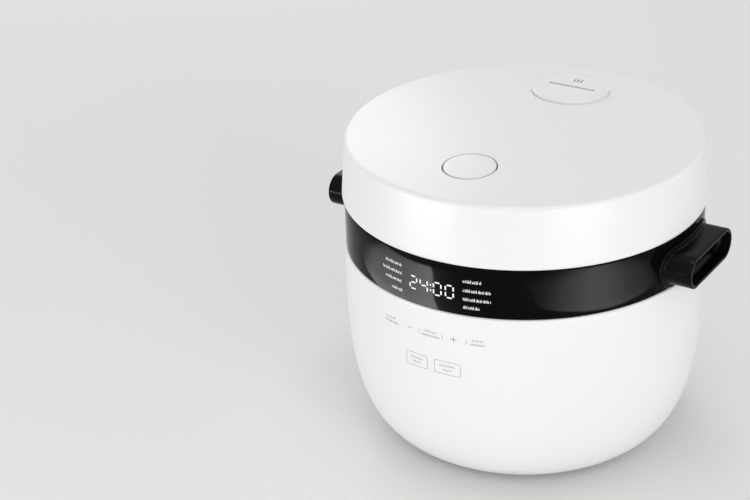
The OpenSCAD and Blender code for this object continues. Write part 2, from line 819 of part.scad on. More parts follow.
lid_cover();
lid_liner();
lid_screws();
open_button();
button_spring();
latch_slider();
latch_spring();
steam_vent_cap();
steam_cup();
steam_cup_seal();
inner_lid();
inner_lid_seal();
inner_lid_grommet();
lid_sensor();
hinge_arm();
body_shell();
control_band();
upper_frame();
latch_catch();
hinge_bracket();
hinge_cover();
hinge_pin();
hinge_spring();
handle_left();
handle_right();
handle_screws();
display_module();
control_board();
touch_board();
touch_springs();
inner_pot();
heat_shield();
heating_plate();
heating_element();
thermal_fuse();
pot_sensor();
sensor_spring();
sensor_bracket();
power_board();
transformer();
relay();
capacitor();
base_plate();
feet();
base_screws();
power_inlet();
inlet_pins();
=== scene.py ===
import math

import bmesh
import bpy
from mathutils import Matrix, Vector


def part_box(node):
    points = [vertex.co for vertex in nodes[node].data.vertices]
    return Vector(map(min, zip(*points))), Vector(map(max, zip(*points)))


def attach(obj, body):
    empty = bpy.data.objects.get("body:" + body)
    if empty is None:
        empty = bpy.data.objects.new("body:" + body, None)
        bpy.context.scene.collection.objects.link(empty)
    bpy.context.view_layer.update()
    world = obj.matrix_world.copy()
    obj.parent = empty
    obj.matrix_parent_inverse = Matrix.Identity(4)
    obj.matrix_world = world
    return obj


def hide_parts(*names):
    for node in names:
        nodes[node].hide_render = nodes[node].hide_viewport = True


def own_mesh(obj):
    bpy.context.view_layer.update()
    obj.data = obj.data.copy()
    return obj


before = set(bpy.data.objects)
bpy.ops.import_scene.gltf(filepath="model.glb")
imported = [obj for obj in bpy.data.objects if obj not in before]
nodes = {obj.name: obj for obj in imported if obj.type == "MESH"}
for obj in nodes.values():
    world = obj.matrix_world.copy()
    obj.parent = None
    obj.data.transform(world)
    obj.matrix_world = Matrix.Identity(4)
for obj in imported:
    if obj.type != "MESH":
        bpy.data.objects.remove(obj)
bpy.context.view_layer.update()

# ---------------------------------------------------------------- base plate
# The underside is closed by a round plate with two rings of cooling slots. It is injection
# moulded in pale polypropylene, and four screws hold it in the foot of the shell.


def start_finish(name, colour, roughness, metallic=0.0, specular=0.5):
    """A new material with the shader's own values set. The section then adds its patterns."""
    made = bpy.data.materials.new(name)
    made.use_nodes = True
    shader = made.node_tree.nodes["Principled BSDF"]
    shader.inputs["Base Color"].default_value = (*colour, 1)
    shader.inputs["Roughness"].default_value = roughness
    shader.inputs["Metallic"].default_value = metallic
    shader.inputs["Specular IOR Level"].default_value = specular
    return made


def clouds(finish, scale, detail=3.0, stretch=(1, 1, 1)):
    """A cloudy pattern, as many to the metre as its scale. A stretch turns it into streaks."""
    tree = finish.node_tree
    place = tree.nodes.new("ShaderNodeTexCoord")
    turn = tree.nodes.new("ShaderNodeMapping")
    turn.inputs["Scale"].default_value = stretch
    noise = tree.nodes.new("ShaderNodeTexNoise")
    noise.inputs["Scale"].default_value = scale
    noise.inputs["Detail"].default_value = detail
    tree.links.new(place.outputs["Object"], turn.inputs["Vector"])
    tree.links.new(turn.outputs["Vector"], noise.inputs["Vector"])
    return noise.outputs["Fac"]


pattern_low, pattern_high = 0.25, 0.75


def spread(finish, pattern, low, high):
    """The pattern's middle values, stretched to run from low to high."""
    tree = finish.node_tree
    node = tree.nodes.new("ShaderNodeMapRange")
    node.inputs["From Min"].default_value = pattern_low
    node.inputs["From Max"].default_value = pattern_high
    node.inputs["To Min"].default_value = low
    node.inputs["To Max"].default_value = high
    tree.links.new(pattern, node.inputs["Value"])
    return node.outputs["Result"]


def mottle(finish, pattern, first, second):
    """Colour that drifts between two shades with the pattern."""
    tree = finish.node_tree
    mix = tree.nodes.new("ShaderNodeMix")
    mix.data_type = "RGBA"
    mix.inputs[6].default_value = (*first, 1)
    mix.inputs[7].default_value = (*second, 1)
    tree.links.new(spread(finish, pattern, 0, 1), mix.inputs[0])
    tree.links.new(mix.outputs[2], tree.nodes["Principled BSDF"].inputs["Base Color"])


def handling_marks(finish, pattern, low, high):
    """Gloss that comes and goes with the pattern, as fingers and cloths leave it."""
    tree = finish.node_tree
    level = spread(finish, pattern, low, high)
    tree.links.new(level, tree.nodes["Principled BSDF"].inputs["Roughness"])


def emboss(finish, pattern, height):
    """Bumps of that height in metres, laid over any that the finish has."""
    tree = finish.node_tree
    shader = tree.nodes["Principled BSDF"]
    bump = tree.nodes.new("ShaderNodeBump")
    bump.inputs["Distance"].default_value = height
    tree.links.new(pattern, bump.inputs["Height"])
    if shader.inputs["Normal"].is_linked:
        tree.links.new(shader.inputs["Normal"].links[0].from_socket, bump.inputs["Normal"])
    tree.links.new(bump.outputs["Normal"], shader.inputs["Normal"])


def coat_nodes(finish, *names):
    """Gives the finish to solids of the frame that keep their own shape."""
    for name in names:
        for place in nodes[name].material_slots:
            place.material = finish


pale_moulding = start_finish("pale_moulding", (0.77, 0.77, 0.755), 0.45)
mottle(pale_moulding, clouds(pale_moulding, 22), (0.78, 0.78, 0.765), (0.73, 0.73, 0.71))
handling_marks(pale_moulding, clouds(pale_moulding, 90, 5), 0.38, 0.52)
emboss(pale_moulding, clouds(pale_moulding, 2600, 2), 0.00003)
coat_nodes(pale_moulding, "base_plate")

# ---------------------------------------------------------------- feet
# Four soft rubber pads with a dimple in the middle, moulded and then pushed into the base plate,
# so that the cooker doesn't slide.


def arc(centre, radius, start, end, steps=6):
    """Points of an arc in an outline, with its angles in degrees."""
    angles = [math.radians(start + (end - start) * i / steps) for i in range(steps + 1)]
    return [(centre[0] + radius * math.cos(a), centre[1] + radius * math.sin(a)) for a in angles]


def to_metres(work):
    """Brings a mesh that was drawn in millimetres down to metres."""
    bmesh.ops.scale(work, vec=(0.001, 0.001, 0.001), verts=work.verts)


def lathe(outline, steps=180):
    """Turns a closed outline of radius and height, in millimetres, into a solid in metres."""
    work = bmesh.new()
    points = [work.verts.new((r, 0, z)) for r, z in outline]
    sides = [
        work.edges.new((points[i - 1], points[i]))
        for i in range(len(points))
        if outline[i - 1][0] or outline[i][0]
    ]
    bmesh.ops.spin(
        work, geom=points + sides, cent=(0, 0, 0), axis=(0, 0, 1), angle=math.tau, steps=steps,
        use_merge=True,
    )
    bmesh.ops.remove_doubles(work, verts=work.verts, dist=0.0005)
    bmesh.ops.recalc_face_normals(work, faces=work.faces)
    to_metres(work)
    return work


def shift(work, x, y, z=0.0):
    """Moves the whole of a mesh by millimetres."""
    bmesh.ops.translate(work, vec=(x / 1000, y / 1000, z / 1000), verts=work.verts)


def four_round(work):
    """Three more copies of the mesh, a quarter turn apart round the cooker."""
    bmesh.ops.spin(
        work, geom=work.verts[:] + work.edges[:] + work.faces[:], cent=(0, 0, 0), axis=(0, 0, 1),
        angle=math.radians(270), steps=3, use_duplicate=True, use_merge=False,
    )
    bmesh.ops.recalc_face_normals(work, faces=work.faces)


corner_angle = math.radians(35)


def crisp_edges(work):
    """Smooth shading with the real corners kept crisp."""
    for face in work.faces:
        face.smooth = True
    for edge in work.edges:
        edge.smooth = len(edge.link_faces) != 2 or edge.calc_face_angle(0) < corner_angle


def make_piece(work, name, finish):
    """The finished mesh as a named piece in the scene."""
    crisp_edges(work)
    mesh = bpy.data.meshes.new(name)
    work.to_mesh(mesh)
    work.free()
    mesh.materials.append(finish)
    made = bpy.data.objects.new(name, mesh)
    bpy.context.scene.collection.objects.link(made)
    return made


foot_rubber = start_finish("foot_rubber", (0.09, 0.095, 0.1), 0.75, specular=0.3)
mottle(foot_rubber, clouds(foot_rubber, 160), (0.085, 0.09, 0.095), (0.13, 0.13, 0.13))
handling_marks(foot_rubber, clouds(foot_rubber, 300, 4), 0.65, 0.85)
emboss(foot_rubber, clouds(foot_rubber, 3000, 2), 0.00008)

foot_r, foot_top, foot_at, dimple_h = 8, 3.15, 43.84, 1.0
foot_work = lathe(
    [(0, dimple_h)] + arc((3.6, dimple_h), dimple_h, 180, 270)
    + arc((foot_r - 1.1, 1.1), 1.1, 270, 360) + [(foot_r, foot_top), (0, foot_top)], 48,
)
shift(foot_work, foot_at, foot_at)
four_round(foot_work)
rubber_feet = make_piece(foot_work, "rubber_feet", foot_rubber)
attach(rubber_feet, "root")
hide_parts("feet")

# ---------------------------------------------------------------- base screws
# Four self-tapping screws of zinc-plated steel, with a domed head and a cross recess, driven up
# through the base plate into the bosses of the shell.


def carve(piece, tool, operation="DIFFERENCE"):
    """Cuts the tool's solid out of the piece, or joins it on, and removes the tool."""
    change = piece.modifiers.new("carve", "BOOLEAN")
    change.operation = operation
    change.solver = "EXACT"
    change.object = tool
    now = bpy.context.evaluated_depsgraph_get()
    shape = bpy.data.meshes.new_from_object(piece.evaluated_get(now))
    piece.modifiers.clear()
    piece.data = shape
    bpy.data.objects.remove(tool)
    work = bmesh.new()
    work.from_mesh(shape)
    bmesh.ops.remove_doubles(work, verts=work.verts, dist=0.000001)
    crisp_edges(work)
    work.to_mesh(shape)
    work.free()


def block(low, high, rounded=0.0, segments=3):
    """A box between two corners in millimetres, its edges rounded."""
    work = bmesh.new()
    size = [(b - a) / 1000 for a, b in zip(low, high)]
    bmesh.ops.create_cube(work, size=1)
    bmesh.ops.scale(work, vec=size, verts=work.verts)
    shift(work, *[(a + b) / 2 for a, b in zip(low, high)])
    if rounded:
        bmesh.ops.bevel(
            work, geom=work.edges[:], offset=rounded / 1000, affect="EDGES", segments=segments,
            profile=0.5, material=-1,
        )
    return work


def join_work(work, part, turn=Matrix()):
    """Adds a second mesh to the first, turned into place, and lets it go."""
    spare = bpy.data.meshes.new("spare")
    part.to_mesh(spare)
    part.free()
    spare.transform(turn)
    work.from_mesh(spare)
    bpy.data.meshes.remove(spare)


def screw_blank(head_z, tip_z):
    """A screw that stands on its head: the head's face at head_z, the tip of the shank at tip_z."""
    return lathe(
        [(0, head_z), (1.6, head_z + 0.05), (2.5, head_z + 0.3), (2.9, head_z + 0.7),
         (3, head_z + 1.1), (3, head_z + 1.6), (1.5, head_z + 1.6), (1.5, tip_z - 1), (0.5, tip_z),
         (0, tip_z)], 32,
    )


cross_bars = ((1.7, 0.32), (0.32, 1.7))


def recess_bar(head_z, bar):
    """One of the two bars that make the cross for the driver in a screw's head."""
    return block((-bar[0], -bar[1], head_z - 0.5), (bar[0], bar[1], head_z + 1.0))


plated_steel = start_finish("plated_steel", (0.68, 0.69, 0.7), 0.3, metallic=1.0)
mottle(plated_steel, clouds(plated_steel, 400), (0.7, 0.71, 0.72), (0.58, 0.59, 0.6))
handling_marks(plated_steel, clouds(plated_steel, 900, 4), 0.28, 0.42)
emboss(plated_steel, clouds(plated_steel, 2500, 2, (1, 1, 8)), 0.00001)

base_head_z, base_tip_z, base_screw_at = 4.6, 21, 53.03
screw_work = screw_blank(base_head_z, base_tip_z)
shift(screw_work, base_screw_at, base_screw_at)
four_round(screw_work)
foot_screws = make_piece(screw_work, "foot_screws", plated_steel)
for bar in cross_bars:
    recess_work = recess_bar(base_head_z, bar)
    shift(recess_work, base_screw_at, base_screw_at)
    four_round(recess_work)
    carve(foot_screws, make_piece(recess_work, "recess", plated_steel))
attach(foot_screws, "root")
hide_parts("base_screws")

# ---------------------------------------------------------------- outer shell
# The bowl-shaped body is one deep moulding in glossy white plastic. Its upper edge is rounded over
# and carries the black band, and four bosses inside take the base screws.
body_r, base_r = 120.8, 84
body_low, body_top = 3.3, 137.5
body_wall = 2.5


def bowl_line(top_r, low_r, low_z, steps=60):
    """The bowl's side from its shoulder down to its foot, as radius and height."""
    line = []
    for i in range(steps + 1):
        a = math.radians(90 * (i / steps) ** 1.35)
        r = low_r + (top_r - low_r) * math.cos(a) ** 1.05 if i < steps else low_r
        line.append((r, body_top - (body_top - low_z) * math.sin(a) ** 0.555))
    return line


white_gloss = start_finish("white_gloss", (0.84, 0.84, 0.835), 0.3)
mottle(white_gloss, clouds(white_gloss, 7), (0.842, 0.842, 0.836), (0.834, 0.835, 0.832))
handling_marks(white_gloss, clouds(white_gloss, 24, 3), 0.285, 0.32)
emboss(white_gloss, clouds(white_gloss, 350, 1), 0.000001)

outside = bowl_line(body_r, base_r, body_low)
inside = bowl_line(body_r - body_wall, base_r - body_wall, body_low + body_wall)
brim = 1.6
shell_line = (
    arc((119.2, body_top - brim), brim, 90, 0) + [p for p in outside if p[1] < body_top - 2]
    + [(base_r - body_wall, body_low)] + inside[::-1]
)
body = make_piece(lathe(shell_line, 240), "body_bowl", white_gloss)
inlet_room = block((-15.3, 90, 26.7), (15.3, 130, 49.3), 0.4)
carve(body, make_piece(inlet_room, "inlet_cut", white_gloss))
rim_room = block((-18.3, 111.5, 23.7), (18.3, 130, 52.3), 1)
carve(body, make_piece(rim_room, "rim_cut", white_gloss))
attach(body, "root")
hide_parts("body_shell")

hole_r, boss_r, boss_low, boss_high, boss_at = 1.55, 4.5, 13, 27, 75
boss_work = lathe(
    [(hole_r, boss_low), (boss_r - 0.2, boss_low), (boss_r, boss_low + 0.2), (boss_r, boss_high),
     (hole_r, boss_high)], 32,
)
shift(boss_work, boss_at, 0)
rib_work = block((boss_at + 4, -1.2, boss_low), (101, 1.2, boss_high))
# the rib's outer end leans out with the wall of the bowl
rib_lean = 0.0075
for corner in rib_work.verts:
    if corner.co.x > 0.1 and corner.co.z > 0.02:
        corner.co.x += rib_lean
join_work(boss_work, rib_work)
bmesh.ops.rotate(
    boss_work, cent=(0, 0, 0), matrix=Matrix.Rotation(math.radians(45), 3, "Z"),
    verts=boss_work.verts,
)
four_round(boss_work)
screw_bosses = make_piece(boss_work, "screw_bosses", white_gloss)
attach(screw_bosses, "root")

# ---------------------------------------------------------------- key prints
# The touch keys are only printed on the shell, in thin grey ink: two rows of signs, divider lines
# and framed fields. The ink is pad printed and lies on the gloss of the plastic.


def body_radius(z):
    """Radius of the shell's outside at a height, in millimetres."""
    depth = (body_top - z) / (body_top - body_low)
    return base_r + (body_r - base_r) * (1 - depth ** 3.6) ** 0.526


def strip(work, x, z, width, height):
    """A flat printed bar centred at x and z, in millimetres, with enough points to bend round."""
    cuts = max(1, round(width / 1.2))
    turn = Matrix.Rotation(math.radians(90), 4, "X")
    made = bmesh.ops.create_grid(work, x_segments=cuts, y_segments=2, size=0.5, matrix=turn)["verts"]
    bmesh.ops.scale(work, vec=(width, 1, height), verts=made)
    bmesh.ops.translate(work, vec=(x, 0, z), verts=made)


def fine_print(work, left, right, z, height, pen, turn=0):
    """A row of small upright strokes between two sides, which stands where words are printed."""
    x, count = left + pen / 2, turn
    while x < right:
        tall = height * (0.66, 1.0, 0.66, 0.66, 0.9, 0.66, 1.0)[count % 7]
        strip(work, x, z + (tall - height) / 2, pen, tall)
        x += pen * (2.0, 2.3, 1.9, 3.4, 2.1)[count % 5]
        count += 1


print_lift = 0.04


def lay_round(work, radius_at):
    """Bends flat prints round the front of the cooker, just over its surface."""
    bmesh.ops.recalc_face_normals(work, faces=work.faces)
    for corner in work.verts:
        reach = radius_at(corner.co.z) + print_lift
        corner.co.y = -math.sqrt(reach ** 2 - corner.co.x ** 2)
    for face in work.faces:
        face.normal_update()
        if face.normal.y > 0:
            face.normal_flip()
    to_metres(work)


grey_ink = start_finish("grey_ink", (0.2, 0.2, 0.21), 0.5)
mottle(grey_ink, clouds(grey_ink, 500), (0.18, 0.18, 0.19), (0.25, 0.25, 0.26))
handling_marks(grey_ink, clouds(grey_ink, 900), 0.42, 0.58)
emboss(grey_ink, clouds(grey_ink, 4000), 0.00001)

ink = bmesh.new()
key_row, frame_low, frame_high = 119.4, 92.4, 101.8
key_pen, line_pen = 0.25, 0.28
for centre, width in ((-34.5, 11.6), (-2.7, 13.3), (29.5, 10.1)):
    fine_print(ink, centre - width * 0.36, centre + width * 0.36, key_row + 1.6, 1.3, key_pen)
    fine_print(ink, centre - width / 2, centre + width / 2, key_row - 1.3, 1.5, key_pen, 3)
for divider in (-11.2, 6, 22.2):
    strip(ink, divider, key_row, line_pen, 3.8)
strip(ink, -19, key_row, 3.2, 0.4)
strip(ink, 13.8, key_row, 4.2, 0.42)
strip(ink, 13.8, key_row, 0.42, 4.2)
for left, right in ((-22, -5.6), (-0.2, 18)):
    middle, width = (left + right) / 2, right - left
    for z in (frame_low, frame_high):
        strip(ink, middle, z, width - 2.4, line_pen)
    for x, side in ((left, 1), (right, -1)):
        strip(ink, x, (frame_low + frame_high) / 2, line_pen, 7.0)
        for z, way in ((frame_low, 1), (frame_high, -1)):
            strip(ink, x + side * 0.2, z + way * 0.75, line_pen, 0.9)
            strip(ink, x + side * 0.75, z + way * 0.2, 0.9, line_pen)
    fine_print(ink, middle - width * 0.3, middle + width * 0.3, 98.7, 1.3, key_pen, 2)
    fine_print(ink, middle - width * 0.17, middle + width * 0.17, 95.6, 1.3, key_pen, 5)
lay_round(ink, body_radius)
key_prints = make_piece(ink, "key_prints", grey_ink)
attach(key_prints, "root")

# ---------------------------------------------------------------- power electronics
# A small board over the base carries the transformer, the relay and the capacitor. It is green
# lacquered glass fibre, and its parts are soldered on.


def ring_waves(finish, scale, distort=0.5):
    """Fine rings round the cooker's upright axis, as a cutter or a polishing wheel leaves them."""
    tree = finish.node_tree
    place = tree.nodes.new("ShaderNodeTexCoord")
    wave = tree.nodes.new("ShaderNodeTexWave")
    wave.wave_type = "RINGS"
    wave.rings_direction = "Z"
    wave.inputs["Scale"].default_value = scale
    wave.inputs["Distortion"].default_value = distort
    wave.inputs["Detail"].default_value = 2
    tree.links.new(place.outputs["Object"], wave.inputs["Vector"])
    return wave.outputs["Fac"]


def copper_tracks(finish, scale):
    """A pattern of small square cells, as the copper makes under a board's lacquer."""
    tree = finish.node_tree
    place = tree.nodes.new("ShaderNodeTexCoord")
    cells = tree.nodes.new("ShaderNodeTexVoronoi")
    cells.distance = "CHEBYCHEV"
    cells.inputs["Scale"].default_value = scale
    cells.inputs["Randomness"].default_value = 0.7
    tree.links.new(place.outputs["Object"], cells.inputs["Vector"])
    return cells.outputs["Distance"]


board_lacquer = start_finish("board_lacquer", (0.02, 0.13, 0.06), 0.28)
mottle(board_lacquer, copper_tracks(board_lacquer, 240), (0.015, 0.1, 0.045), (0.05, 0.24, 0.11))
handling_marks(board_lacquer, clouds(board_lacquer, 300), 0.28, 0.36)
emboss(board_lacquer, copper_tracks(board_lacquer, 240), 0.00004)
coat_nodes(board_lacquer, "power_board", "control_board", "touch_board")

winding_tape = start_finish("winding_tape", (0.6, 0.45, 0.05), 0.4)
mottle(winding_tape, clouds(winding_tape, 200, 3, (1, 1, 5)), (0.62, 0.47, 0.06), (0.5, 0.36, 0.03))
handling_marks(winding_tape, clouds(winding_tape, 500), 0.3, 0.5)
emboss(winding_tape, clouds(winding_tape, 300, 2, (1, 1, 12)), 0.0002)
coat_nodes(winding_tape, "transformer")

relay_plastic = start_finish("relay_plastic", (0.02, 0.1, 0.35), 0.35)
mottle(relay_plastic, clouds(relay_plastic, 150), (0.02, 0.1, 0.35), (0.03, 0.12, 0.38))
handling_marks(relay_plastic, clouds(relay_plastic, 400), 0.28, 0.42)
emboss(relay_plastic, clouds(relay_plastic, 2500), 0.00002)
coat_nodes(relay_plastic, "relay")

can_sleeve = start_finish("can_sleeve", (0.02, 0.022, 0.025), 0.3)
mottle(can_sleeve, clouds(can_sleeve, 200), (0.018, 0.02, 0.023), (0.035, 0.037, 0.04))
handling_marks(can_sleeve, clouds(can_sleeve, 500), 0.28, 0.4)
emboss(can_sleeve, clouds(can_sleeve, 1500), 0.00002)
coat_nodes(can_sleeve, "capacitor")

# ---------------------------------------------------------------- power inlet
# The mains lead plugs in at the back, into a three-pin socket. The housing is black heat-resistant
# plastic, pushed in from outside, and its pins are nickel-plated brass.


def softened(name, width):
    """A copy of one of the frame's solids with its corners rounded, in metres."""
    work = bmesh.new()
    work.from_mesh(nodes[name].data)
    bmesh.ops.remove_doubles(work, verts=work.verts, dist=0.000002)
    bmesh.ops.dissolve_limit(
        work, angle_limit=math.radians(0.5), verts=work.verts, edges=work.edges,
    )
    corners = [
        edge for edge in work.edges
        if len(edge.link_faces) == 2 and edge.calc_face_angle(0) > math.radians(40)
    ]
    bmesh.ops.bevel(
        work, geom=corners, offset=width, affect="EDGES", segments=2, profile=0.5,
        material=-1, clamp_overlap=True,
    )
    return work


socket_plastic = start_finish("socket_plastic", (0.018, 0.018, 0.019), 0.42)
mottle(socket_plastic, clouds(socket_plastic, 120), (0.016, 0.016, 0.017), (0.03, 0.03, 0.031))
handling_marks(socket_plastic, clouds(socket_plastic, 350, 4), 0.34, 0.5)
emboss(socket_plastic, clouds(socket_plastic, 2200), 0.00003)
inlet_housing = make_piece(softened("power_inlet", 0.0004), "inlet_housing", socket_plastic)
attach(inlet_housing, "root")
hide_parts("power_inlet")

plated_brass = start_finish("plated_brass", (0.7, 0.62, 0.42), 0.25, metallic=1.0)
mottle(plated_brass, clouds(plated_brass, 500), (0.72, 0.65, 0.45), (0.6, 0.52, 0.33))
handling_marks(plated_brass, clouds(plated_brass, 900, 4, (1, 6, 1)), 0.18, 0.27)
emboss(plated_brass, clouds(plated_brass, 2500, 2, (1, 8, 1)), 0.00001)
mains_pins = make_piece(softened("inlet_pins", 0.0003), "mains_pins", plated_brass)
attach(mains_pins, "root")
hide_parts("inlet_pins")

# ---------------------------------------------------------------- heater
# A cast aluminium plate with a rod element pressed into its underside warms the pot from below.
# It sits in a can of galvanised sheet, and a sprung thermostat button looks through its middle.
cast_plate = start_finish("cast_plate", (0.72, 0.73, 0.74), 0.36, metallic=1.0)
mottle(cast_plate, clouds(cast_plate, 60), (0.74, 0.75, 0.76), (0.62, 0.63, 0.64))
handling_marks(cast_plate, clouds(cast_plate, 200, 5), 0.28, 0.46)
emboss(cast_plate, ring_waves(cast_plate, 260), 0.00003)
coat_nodes(cast_plate, "heating_plate", "pot_sensor")

rod_element = start_finish("rod_element", (0.32, 0.32, 0.33), 0.5, metallic=1.0)
mottle(rod_element, clouds(rod_element, 150), (0.34, 0.34, 0.35), (0.2, 0.17, 0.14))
handling_marks(rod_element, clouds(rod_element, 400), 0.4, 0.6)
emboss(rod_element, clouds(rod_element, 1800), 0.00004)
coat_nodes(rod_element, "heating_element")

galvanised = start_finish("galvanised", (0.5, 0.51, 0.52), 0.42, metallic=1.0)
mottle(galvanised, clouds(galvanised, 130, 6), (0.55, 0.56, 0.57), (0.42, 0.43, 0.45))
handling_marks(galvanised, clouds(galvanised, 260, 5), 0.32, 0.55)
emboss(galvanised, clouds(galvanised, 700), 0.00003)
coat_nodes(galvanised, "heat_shield", "sensor_bracket", "latch_catch")

fuse_case = start_finish("fuse_case", (0.5, 0.4, 0.22), 0.35, metallic=1.0)
mottle(fuse_case, clouds(fuse_case, 400), (0.52, 0.42, 0.24), (0.42, 0.33, 0.17))
handling_marks(fuse_case, clouds(fuse_case, 900), 0.28, 0.45)
emboss(fuse_case, clouds(fuse_case, 2500), 0.00001)
coat_nodes(fuse_case, "thermal_fuse")
coat_nodes(plated_steel, "sensor_spring", "touch_springs")

# ---------------------------------------------------------------- inner pot
# The cooking pot is drawn from aluminium sheet and coated dark grey inside and out with a
# non-stick lacquer that has a fine sparkle. It hangs by its rim and lifts out.
pot_lacquer = start_finish("pot_lacquer", (0.045, 0.046, 0.05), 0.38)
mottle(pot_lacquer, clouds(pot_lacquer, 3500, 1), (0.035, 0.036, 0.04), (0.1, 0.1, 0.105))
handling_marks(pot_lacquer, clouds(pot_lacquer, 60, 5), 0.3, 0.44)
emboss(pot_lacquer, clouds(pot_lacquer, 1600), 0.00003)

pot_line = (
    [(0, 50)] + arc((65, 77), 27, 270, 360, 16) + [(92, 166.6)]
    + arc((92.8, 166.6), 0.8, 180, 90, 4)[1:] + [(96.8, 167.4)]
    + arc((96.6, 168.3), 0.9, 270, 450, 8) + [(92.4, 169.2)]
    + arc((92.4, 166.8), 2.4, 90, 180, 6)[1:] + arc((65, 77), 25, 360, 270, 16) + [(0, 52)]
)
cooking_pot = make_piece(lathe(pot_line, 160), "cooking_pot", pot_lacquer)
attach(cooking_pot, "root")
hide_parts("inner_pot")

level_ink = start_finish("level_ink", (0.6, 0.6, 0.58), 0.45)
mottle(level_ink, clouds(level_ink, 400), (0.62, 0.62, 0.6), (0.5, 0.5, 0.48))
handling_marks(level_ink, clouds(level_ink, 800), 0.38, 0.52)
emboss(level_ink, clouds(level_ink, 3000), 0.00001)
level_marks = bmesh.new()
lowest_mark, mark_step, mark_t, print_r = 92, 10, 0.8, 89.93
for step in range(6):
    strip(level_marks, 0, lowest_mark + mark_step * step, 16 if step % 2 else 9, mark_t)
strip(level_marks, 9.5, 117, mark_t, 50.8)
for corner in level_marks.verts:
    corner.co.y = math.sqrt(print_r ** 2 - corner.co.x ** 2)
for face in level_marks.faces:
    face.normal_update()
    if face.normal.y > 0:
        face.normal_flip()
to_metres(level_marks)
fill_lines = make_piece(level_marks, "fill_lines", level_ink)
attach(fill_lines, "root")

# ---------------------------------------------------------------- upper frame
# A moulded ring joins the band to the shell and holds the pot's rim. It is the same pale plastic
# as the base plate, and a steel catch for the latch is hooked into its front.
coat_nodes(pale_moulding, "upper_frame")

# ---------------------------------------------------------------- black band
# The band round the cooker is a glossy black ring, see-through enough for the display behind it.
# It is moulded in one piece and clamped between the shell and the upper frame.
black_gloss = start_finish("black_gloss", (0.002, 0.002, 0.0022), 0.075, specular=0.04)
mottle(black_gloss, clouds(black_gloss, 30), (0.002, 0.002, 0.0022), (0.003, 0.003, 0.0032))
handling_marks(black_gloss, clouds(black_gloss, 50, 6), 0.06, 0.09)
emboss(black_gloss, clouds(black_gloss, 500), 0.000002)

band_r, band_edge = 120, 0.6
band_line = (
    [(117, 137.6), (119.4, 137.6)] + arc((119.4, 138.2), band_edge, 270, 360, 5)[1:]
    + [(band_r, 146), (band_r, 154.5), (band_r, 163)] + arc((119.4, 170.9), band_edge, 0, 90, 5)
    + [(117, 171.5)]
)
band = make_piece(lathe(band_line, 240), "band_ring", black_gloss)
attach(band, "root")
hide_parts("control_band")

# ---------------------------------------------------------------- display
# White light-emitting segments shine through the band: four figures with a colon. The marks of the
# cooking programmes stand beside them, in two columns of fine strokes.
coat_nodes(socket_plastic, "display_module")

segment_white = start_finish("segment_white", (0.8, 0.8, 0.8), 0.35)
mottle(segment_white, clouds(segment_white, 600), (0.8, 0.8, 0.8), (0.74, 0.75, 0.77))
handling_marks(segment_white, clouds(segment_white, 900), 0.3, 0.45)
segment_glow = segment_white.node_tree.nodes["Principled BSDF"].inputs
segment_glow["Emission Color"].default_value = (1, 1, 1, 1)
segment_glow["Emission Strength"].default_value = 0.3

# Segments that light for each figure: top, upper left, upper right, middle, lower left, lower
# right, bottom
lit = {"0": (1, 1, 1, 0, 1, 1, 1), "2": (1, 0, 1, 1, 1, 0, 1), "4": (0, 1, 1, 1, 0, 1, 0)}
figure_low, figure_high = 148.2, 156.9
stroke = 0.95


def figure(work, sign, left, right):
    """One seven-segment figure between two sides, in millimetres."""
    middle_z, half_h = (figure_low + figure_high) / 2, (figure_high - figure_low) / 2
    middle_x, long = (left + right) / 2, right - left - 2 * stroke - 0.2
    tall = half_h - 1.5 * stroke - 0.1
    places = (
        (middle_x, figure_high, long, stroke), (left, middle_z + half_h / 2, stroke, tall),
        (right, middle_z + half_h / 2, stroke, tall), (middle_x, middle_z, long, stroke),
        (left, middle_z - half_h / 2, stroke, tall), (right, middle_z - half_h / 2, stroke, tall),
        (middle_x, figure_low, long, stroke),
    )
    for on, (x, z, width, height) in zip(lit[sign], places):
        if on:
            strip(work, x, z, width, height)


segments = bmesh.new()
for sign, left, right in (("2", -17.9, -12.6), ("4", -9.9, -4.6), ("0", 0.0, 5.3), ("0", 8.4, 13.7)):
    figure(segments, sign, left, right)
for z in (150.6, 154.4):
    strip(segments, -2.2, z, 1.0, 1.0)
lay_round(segments, lambda z: band_r)
figures = make_piece(segments, "display_figures", segment_white)
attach(figures, "root")

marks = bmesh.new()
mark_pen = 0.36
inner_left, inner_right = -24.3, 20.2
for order, (z, far) in enumerate(((161.7, -38.5), (155.9, -41.3), (150.2, -39.0), (143.8, -33.6))):
    fine_print(marks, far, inner_left, z, 2.2, mark_pen, order)
for order, (z, far) in enumerate(((161.8, 31.9), (155.4, 37.7), (149.3, 37.7), (143.6, 30.6))):
    fine_print(marks, inner_right, far, z, 2.2, mark_pen, order + 2)
lay_round(marks, lambda z: band_r)
programme_marks = make_piece(marks, "programme_marks", segment_white)
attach(programme_marks, "root")

# ---------------------------------------------------------------- handles
# Two short black grips stand out of the band, each a long rounded block with a deep hollow in its
# end. They are glossy mouldings, screwed on from inside through the band.
handle_z = 152
handle_half = 22
ring_points = 48
handle_black = start_finish("handle_black", (0.003, 0.003, 0.0033), 0.12, specular=0.07)
mottle(handle_black, clouds(handle_black, 60), (0.003, 0.003, 0.0033), (0.005, 0.005, 0.0053))
handling_marks(handle_black, clouds(handle_black, 120, 6), 0.1, 0.15)
emboss(handle_black, clouds(handle_black, 900), 0.000004)


